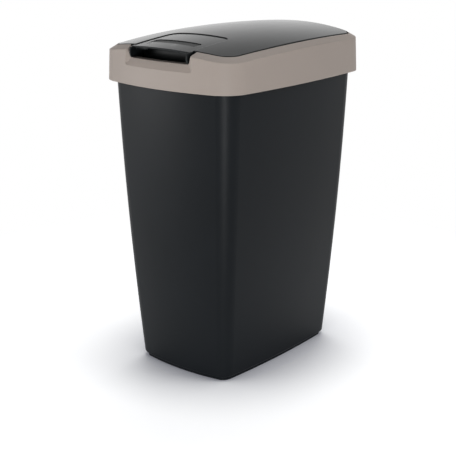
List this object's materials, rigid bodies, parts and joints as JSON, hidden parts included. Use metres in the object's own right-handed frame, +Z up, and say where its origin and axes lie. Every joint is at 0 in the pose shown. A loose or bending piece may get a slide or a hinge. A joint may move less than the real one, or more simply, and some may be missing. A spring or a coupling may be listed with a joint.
{
  "type": "lidded trash can",
  "caption": "Tall rectangular waste bin with a tapered body, a lift-off ring frame over its rim and a crowned hinged lid with a finger grip at the front.",
  "frame": {"origin": "centre of the whole bin's footprint box, on the floor that the foot rim stands on", "axes": "+Z up, the finger notch and grip face -Y, the lid's hinge is at the +Y side, +X is to the right seen from the front"},
  "size_m": [0.3, 0.404, 0.58],
  "materials": {
    "bucket_plastic": "satin moulded polypropylene, charcoal black",
    "frame_plastic": "satin moulded polypropylene, warm taupe",
    "lid_plastic": "semi-gloss moulded polypropylene, dark grey",
    "pin_plastic": "plain moulded acetal"
  },
  "bodies": {
    "bin_body": {"bucket": "bucket_plastic"},
    "frame": {"ring_frame": "frame_plastic", "hinge_pin_left": "pin_plastic", "hinge_pin_right": "pin_plastic"},
    "lid_flap": {"lid": "lid_plastic"}
  },
  "joints": [
    {"name": "frame_lift", "type": "slide", "parent": "bin_body", "child": "frame", "axis": [0, 0, 1], "range_m": [0, 0.1]},
    {"name": "lid_hinge", "type": "hinge", "parent": "frame", "child": "lid_flap", "pos_m": [0, 0.1698, 0.566], "axis": [-1, 0, 0], "range_deg": [0, 100]}
  ]
}
